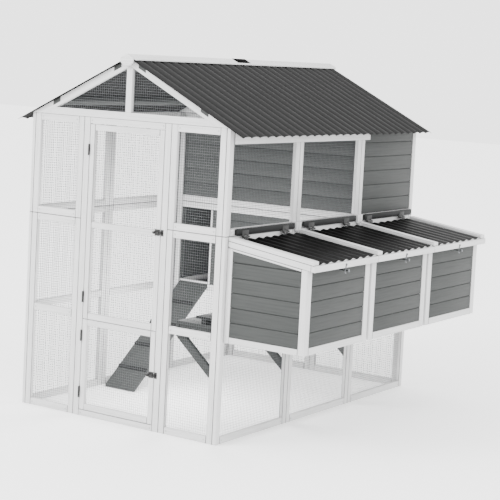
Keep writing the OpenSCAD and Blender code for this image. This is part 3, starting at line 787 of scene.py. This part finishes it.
@dataclass
class Cladding(Assembly):
    """Walls of separate boards laid edge to edge with a shadow gap."""

    gap: float = 3.0 * MM
    arris: float = 2.4 * MM
    tongue: float = 3.0 * MM

    def panel(self, slab: bpy.types.Object, pitch: float) -> bpy.types.Object:
        """Makes the boards of one flat panel.

        Args:
            slab: The plain panel.
            pitch: Height of a board with its gap.

        Returns:
            The boards, cut off along the top of the panel.
        """
        lo, hi = box_of(slab)
        face = thin_axis(lo, hi)
        run = face.beside()
        left, right = top_line(slab, run)
        size = hi - lo
        size.z = pitch - self.gap
        spot = (lo + hi) / 2
        spot.z = lo.z + size.z / 2
        bpy.ops.mesh.primitive_cube_add(size=1, location=spot, scale=size)
        board = bpy.context.active_object
        settle(board)
        self.shape_board(board, run)
        use_modifier(board, "ARRAY", count=math.ceil((hi.z - lo.z) / pitch), use_relative_offset=False,
                     use_constant_offset=True, constant_offset_displace=(0, 0, pitch))
        cut_above(board, left, right, face.unit())
        return board

    def shape_board(self, board: bpy.types.Object, run: Axis) -> None:
        """Rounds the long arrises of a plain board and gives it a tongue along its top edge.

        Args:
            board: A plain bar.
            run: Direction of its length.
        """
        along = [vert.co[run.value] for vert in board.data.vertices]
        pick(board, "EDGE", lambda e: abs(along[e.vertices[0]] - along[e.vertices[1]]) > MM)
        bpy.ops.mesh.bevel(offset=self.arris, segments=2, affect="EDGES")
        bpy.ops.object.mode_set(mode="OBJECT")
        pick(board, "FACE", lambda f: f.normal.z > 0.99)
        bpy.ops.mesh.inset(thickness=self.tongue)
        bpy.ops.mesh.extrude_region_move(TRANSFORM_OT_translate={"value": (0, 0, self.gap - 0.1 * MM)})
        bpy.ops.object.mode_set(mode="OBJECT")

    def clad(self, node: str, pitch: float) -> None:
        """Makes all board panels of a node.

        Args:
            node: Node that holds the panels.
            pitch: Height of a board with its gap.
        """
        slabs = parts_of(node)
        boards = [self.panel(slab, pitch) for slab in slabs]
        drop(slabs)
        piece = join(boards, node + "_planks")
        only(piece)
        bpy.ops.object.shade_smooth_by_angle(angle=ROLLED)
        grain(piece, len(node) * 17)
        self.fix(piece, Slot.GREY, GREY_COAT, node)


@dataclass
class WaveSheet:
    """A corrugated sheet with round waves."""

    pitch: float
    height: float
    crease: float = 0.0
    gauge: float = 0.8 * MM
    steps: int = 12

    def waves(self, length: float, y0: float, y1: float, name: str, columns: int = 4) -> bpy.types.Object:
        """Makes the bare wave surface, flat along X and with its valleys on z = 0.

        Args:
            length: Length along the ribs.
            y0: Start across the ribs.
            y1: End across the ribs.
            name: Name of the sheet.
            columns: Cells along the ribs.

        Returns:
            An open surface.
        """
        count = max(1, round((y1 - y0) / self.pitch))
        bpy.ops.mesh.primitive_grid_add(x_subdivisions=columns, y_subdivisions=count * self.steps, size=1)
        sheet = bpy.context.active_object
        sheet.name = sheet.data.name = name
        for vert in sheet.data.vertices:
            across = vert.co.y + 0.5
            vert.co.x = (vert.co.x + 0.5) * length
            vert.co.y = y0 + across * (y1 - y0)
            rise = (1 - math.cos(across * count * 2 * math.pi)) / 2
            vert.co.z = self.height * rise ** (1.0 - self.crease)
        return sheet

    def sheet(self, length: float, y0: float, y1: float, name: str) -> bpy.types.Object:
        """Makes the sheet with its thickness.

        Args:
            length: Length along the ribs.
            y0: Start across the ribs.
            y1: End across the ribs.
            name: Name of the sheet.

        Returns:
            A closed sheet, lying flat.
        """
        made = self.waves(length, y0, y1, name)
        use_modifier(made, "SOLIDIFY", thickness=self.gauge, offset=1.0)
        only(made)
        bpy.ops.object.shade_smooth_by_angle(angle=ROLLED)
        return made


# ---------------------------------------------------------------- the coop


@dataclass
class Walls(Assembly):
    """White framed walls, the door frame and the mesh in their openings."""

    frames: tuple[str, ...] = ("front_wall_frame", "door_frame", "left_wall_frame",
                               "right_wall_frame", "rear_wall_frame")
    meshes: tuple[str, ...] = ("front_wall_mesh", "left_wall_mesh", "right_wall_mesh", "rear_wall_mesh")

    def build(self) -> None:
        """Makes the frames, then the mesh."""
        for node in self.frames:
            self.timber(node, Slot.WHITE, WHITE_COAT)
        wire = WirePanels(self.label)
        for node in self.meshes:
            wire.weave(node)
        self.screws(("front_wall_frame", "door_frame"), Axis.Y, -1)
        self.screws(("right_wall_frame",), Axis.X, 1)
        self.screws(("left_wall_frame",), Axis.X, -1)
        self.screws(("rear_wall_frame",), Axis.Y, 1)


@dataclass
class Roof(Assembly):
    """Roof frames, purlins, corrugated sheets and the ridge."""

    pitch: float = 76.0 * MM
    height: float = 9.2 * MM
    slope: float = 0.495

    def build(self) -> None:
        """Makes the timbers, the gable mesh and the ridge, then the sheets."""
        for node in ("front_truss", "house_truss", "rear_truss", "ridge_cap", "ridge_end_plates",
                     "eave_board"):
            self.timber(node, Slot.WHITE, WHITE_COAT)
        self.timber("roof_purlins", Slot.GREY, GREY_COAT)
        WirePanels(self.label).weave("front_gable_mesh")
        for side in (1, -1):
            self.lay_sheet(side)
        plate = join(parts_of("ridge_joint_plate"), "ridge_joint_strip")
        ease(plate, 0.4 * MM)
        self.fix(plate, Slot.SHEET, RIDGE_COAT, "ridge_joint_plate")

    def lay_sheet(self, side: int) -> None:
        """Makes the sheet of one roof side.

        Args:
            side: 1 for the right, -1 for the left.
        """
        node = "roof_sheet_right" if side > 0 else "roof_sheet_left"
        lo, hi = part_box(node)
        angle = math.atan(self.slope)
        wave = WaveSheet(self.pitch, self.height, crease=0.62, steps=16)
        thick = wave.height + wave.gauge
        length = (hi.x - lo.x - thick * math.sin(angle)) / math.cos(angle)
        half = (hi.y - lo.y) / 2
        sheet = wave.sheet(length, -half, half, node + "_waves")
        turn = Matrix.Rotation(0 if side > 0 else math.pi, 4, "Z") @ Matrix.Rotation(angle, 4, "Y")
        start = lo.x if side > 0 else hi.x
        top = hi.z - thick * math.cos(angle)
        sheet.matrix_world = Matrix.Translation((start, (lo.y + hi.y) / 2, top)) @ turn
        settle(sheet)
        self.fix(sheet, Slot.SHEET, ROOF_COAT, node)


@dataclass
class House(Assembly):
    """The raised sleeping house, its sliding door, perches and the ramp."""

    board: float = 83.0 * MM

    def build(self) -> None:
        """Makes the house's frames, boards and fittings."""
        for node in ("house_front_frame", "house_corner_batten"):
            self.timber(node, Slot.WHITE, WHITE_COAT)
        boards = Cladding(self.label)
        for node in ("house_front_boards", "house_left_boards", "house_right_boards", "house_rear_boards"):
            boards.clad(node, self.board)
        for node in ("house_floor", "perches", "pop_door", "pop_door_guides", "ramp_board"):
            self.timber(node, Slot.GREY, GREY_COAT, 2.5 * MM)
        # Painted shade: the cleats take the darkened grey so that they show as shadow lines on the ramp.
        self.timber("ramp_cleats", Slot.GREY, GREY_COAT_IN_SHADE, 2.0 * MM)


@dataclass
class NestBoxes(Assembly):
    """Three boxes outside the wall, with the shelf that leads to them inside."""

    board: float = 77.0 * MM

    def build(self) -> None:
        """Makes the boxes, the shelf with its struts, and the studs of the latches."""
        self.timber("nest_box_frames", Slot.WHITE, WHITE_COAT)
        Cladding(self.label).clad("nest_box_boards", self.board)
        for node in ("nest_box_floors", "nest_shelf", "shelf_struts"):
            self.timber(node, Slot.GREY, GREY_COAT)
        # Painted shade: the shelf step and the boards behind the lid hinges take the darkened grey for the
        # shade they stand in.
        self.timber("shelf_step", Slot.GREY, GREY_COAT_IN_SHADE)
        self.timber("lid_hinge_boards", Slot.GREY, GREY_COAT_IN_SHADE, 5.0 * MM)
        self.metal("lid_hinge_fixed", Slot.BLACK, GREY_DIP)
        self.metal("hook_studs", Slot.BRIGHT, ZINC_PLATE, 0.8 * MM)


@dataclass
class Lid(Assembly):
    """One sloping lid with its sheet, closing strips, raised battens, hinges and latch hook."""

    number: int = 1
    pitch: float = 76.0 * MM
    height: float = 9.2 * MM
    slope: float = 0.134
    # Members of the frame told apart by how far they reach down the lid.
    hinge_reach: float = 12.0 * MM
    strip_reach: float = 15.0 * MM
    strip_length: float = 11.6 * MM
    # Height of a closing strip's foot under the valleys of its waves.
    strip_foot: float = 0.9 * MM

    def build(self) -> None:
        """Makes the lid from its frame out to its hook."""
        node = f"lid_{self.number}_frame"
        bars, strips, hinges = [], [], []
        for part in parts_of(node):
            lo, hi = box_of(part)
            reach = hi.x - lo.x
            if reach < self.hinge_reach:
                hinges.append(part)
            elif reach < self.strip_reach:
                strips.append(part)
            else:
                bars.append(part)
        frame_piece = join(bars, f"lid_{self.number}_bars")
        ease(frame_piece, 1.8 * MM)
        grain(frame_piece, 400 + self.number)
        self.fix(frame_piece, Slot.WHITE, WHITE_COAT, node)
        for index, part in enumerate(strips):
            self.close_strip(part, index)
        drop(strips)
        ware = join(hinges, f"lid_{self.number}_hinges")
        ease(ware, 0.3 * MM)
        self.hang(ware, Slot.BLACK, GREY_DIP, node)
        self.lay_sheet()
        self.metal(f"lid_{self.number}_hook", Slot.BRIGHT, ZINC_PLATE, 0.5 * MM)

    def sloped(self, piece: bpy.types.Object, x: float, z: float, y: float) -> None:
        """Leans a flat piece to the fall of the lid.

        Args:
            piece: The piece, lying flat with its start at the origin.
            x: Place of its start.
            z: Height of its start.
            y: Place of its middle along the row of boxes.
        """
        piece.matrix_world = Matrix.Translation((x, y, z)) @ Matrix.Rotation(math.atan(self.slope), 4, "Y")
        settle(piece)

    def close_strip(self, part: bpy.types.Object, index: int) -> None:
        """Makes the scalloped strip that closes the waves at the front or back.

        Args:
            part: The plain strip it follows.
            index: Number of the strip.
        """
        lo, hi = box_of(part)
        half = (hi.y - lo.y) / 2
        name = f"lid_{self.number}_scallop_{index}"
        strip = WaveSheet(self.pitch, self.height).waves(self.strip_length, -half, half, name, 1)

        def thicken() -> None:
            """Pulls the wave down and cuts it off flat."""
            bpy.ops.mesh.extrude_region_move(TRANSFORM_OT_translate={"value": (0, 0, -30 * MM)})
            bpy.ops.mesh.select_all(action="SELECT")
            bpy.ops.mesh.bisect(plane_co=(0, 0, -self.strip_foot), plane_no=(0, 0, 1), use_fill=True,
                                clear_inner=True)
            bpy.ops.mesh.select_all(action="SELECT")
            bpy.ops.mesh.normals_make_consistent(inside=False)

        in_edit(strip, thicken)
        foot = lo.z + self.strip_foot + (hi.x - lo.x) * self.slope
        self.sloped(strip, lo.x, foot, (lo.y + hi.y) / 2)
        grain(strip, 500 + self.number * 2 + index)
        self.hang(strip, Slot.WHITE, WHITE_COAT, f"lid_{self.number}_frame")

    def lay_sheet(self) -> None:
        """Makes the corrugated sheet."""
        node = f"lid_{self.number}_sheet"
        lo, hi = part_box(node)
        angle = math.atan(self.slope)
        wave = WaveSheet(self.pitch, self.height)
        thick = wave.height + wave.gauge
        length = (hi.x - lo.x - thick * math.sin(angle)) / math.cos(angle)
        half = (hi.y - lo.y) / 2
        sheet = wave.sheet(length, -half, half, node + "_waves")
        self.sloped(sheet, lo.x, hi.z - thick * math.cos(angle), (lo.y + hi.y) / 2)
        self.fix(sheet, Slot.SHEET, LID_COAT, node)


@dataclass
class SplitDoor(Assembly):
    """The door in two leaves, each with two hinges and a sliding bolt."""

    def build(self) -> None:
        """Makes the leaves and all their iron."""
        wire = WirePanels(self.label)
        for leaf in ("upper", "lower"):
            self.timber(f"{leaf}_door_frame", Slot.WHITE, WHITE_COAT)
            wire.weave(f"{leaf}_door_mesh")
            self.metal(f"{leaf}_door_fittings", Slot.BLACK, BLACK_DIP)
            self.metal(f"{leaf}_bolt", Slot.BLACK, BLACK_DIP, 0.6 * MM)
        self.metal("door_hinge_fixed", Slot.BLACK, GREY_DIP)
        self.metal("bolt_keepers", Slot.BLACK, BLACK_DIP)


@dataclass
class Studio:
    """Pale floor, soft light and the camera."""

    # Place of the camera in metres, its turn from +Y, its tilt and its roll.
    place: tuple[float, float, float] = (4.7058, -7.2490, 1.9813)
    turn: float = math.radians(-33.512)
    tilt: float = math.radians(-4.831)
    roll: float = math.radians(2.955)
    # Film width and focal length in millimetres, and the lens shift as a share of the film.
    film: float = 36.0
    focal: float = 108.74448
    shift: float = -0.13

    def aim_camera(self) -> None:
        """Sets up the camera."""
        ahead = Vector((math.sin(self.turn) * math.cos(self.tilt),
                        math.cos(self.turn) * math.cos(self.tilt), math.sin(self.tilt)))
        right = Vector((math.cos(self.turn), -math.sin(self.turn), 0.0))
        up = right.cross(ahead)
        side = right * math.cos(self.roll) + up * math.sin(self.roll)
        over = -right * math.sin(self.roll) + up * math.cos(self.roll)
        camera = bpy.data.objects.new("camera", bpy.data.cameras.new("camera"))
        bpy.context.scene.collection.objects.link(camera)
        turned = Matrix((side, over, -ahead)).transposed().to_4x4()
        camera.matrix_world = Matrix.Translation(self.place) @ turned
        camera.data.sensor_width = self.film
        camera.data.lens = self.focal
        camera.data.shift_y = self.shift
        bpy.context.scene.camera = camera

    def lay_floor(self) -> None:
        """Lays the pale floor."""
        bpy.ops.mesh.primitive_plane_add(size=60)
        floor = bpy.context.active_object
        floor.name = "floor"
        mat, _, shader = blank("pale_floor")
        shader.inputs["Base Color"].default_value = (0.95, 0.95, 0.95, 1)
        # A lit floor, as in a light tent, keeps the shade under the house soft.
        shader.inputs["Emission Color"].default_value = (1, 1, 1, 1)
        shader.inputs["Emission Strength"].default_value = 0.6
        shader.inputs["Roughness"].default_value = 0.9
        floor.data.materials.append(mat)

    def soft_box(self, name: str, spot: tuple[float, float, float], power: float, size: float) -> None:
        """Hangs one square soft light that looks at the coop.

        Args:
            name: Name of the light.
            spot: Where it hangs.
            power: Its power in watts.
            size: Length of its side.
        """
        light = bpy.data.lights.new(name, "AREA")
        light.energy, light.size = power, size
        lamp = bpy.data.objects.new(name, light)
        bpy.context.scene.collection.objects.link(lamp)
        lamp.location = spot
        lamp.rotation_euler = (Vector((0, 0, 0.9)) - Vector(spot)).to_track_quat("-Z", "Y").to_euler()

    def run_lamp(self, power: float) -> None:
        """Hangs one soft lamp in the run, which lifts the shade under the roof.

        Args:
            power: Its power in watts.
        """
        front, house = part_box("front_wall_frame"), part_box("house_front_frame")
        light = bpy.data.lights.new("run_lamp", "POINT")
        light.energy, light.shadow_soft_size = power, 0.35
        lamp = bpy.data.objects.new("run_lamp", light)
        bpy.context.scene.collection.objects.link(lamp)
        lamp.location = ((front[0].x + front[1].x) / 2, (front[1].y + house[0].y) / 2, front[1].z * 0.4)
        lamp.visible_camera = False

    def light(self) -> None:
        """Lights the room evenly, a little more from the front left."""
        world = bpy.data.worlds.new("room")
        world.use_nodes = True
        world.node_tree.nodes["Background"].inputs["Color"].default_value = (1, 1, 1, 1)
        world.node_tree.nodes["Background"].inputs["Strength"].default_value = 2.9
        bpy.context.scene.world = world
        self.soft_box("key", (-4.0, -8.0, 6.5), 900.0, 4.0)
        self.soft_box("fill", (8.0, -3.0, 5.0), 250.0, 5.0)
        self.run_lamp(60.0)


def main() -> None:
    """Builds the coop and the studio in order."""
    logging.basicConfig(level=logging.INFO, format="%(name)s %(message)s")
    studio = Studio()
    studio.aim_camera()
    for group in (Walls("walls"), Roof("roof"), House("house"), NestBoxes("nest boxes"),
                  Lid("lid 1", 1), Lid("lid 2", 2), Lid("lid 3", 3), SplitDoor("door")):
        group.build()
        LOG.info("%s: %d pieces", group.label, group.made)
    studio.lay_floor()
    studio.light()


if __name__ == "__main__":
    main()
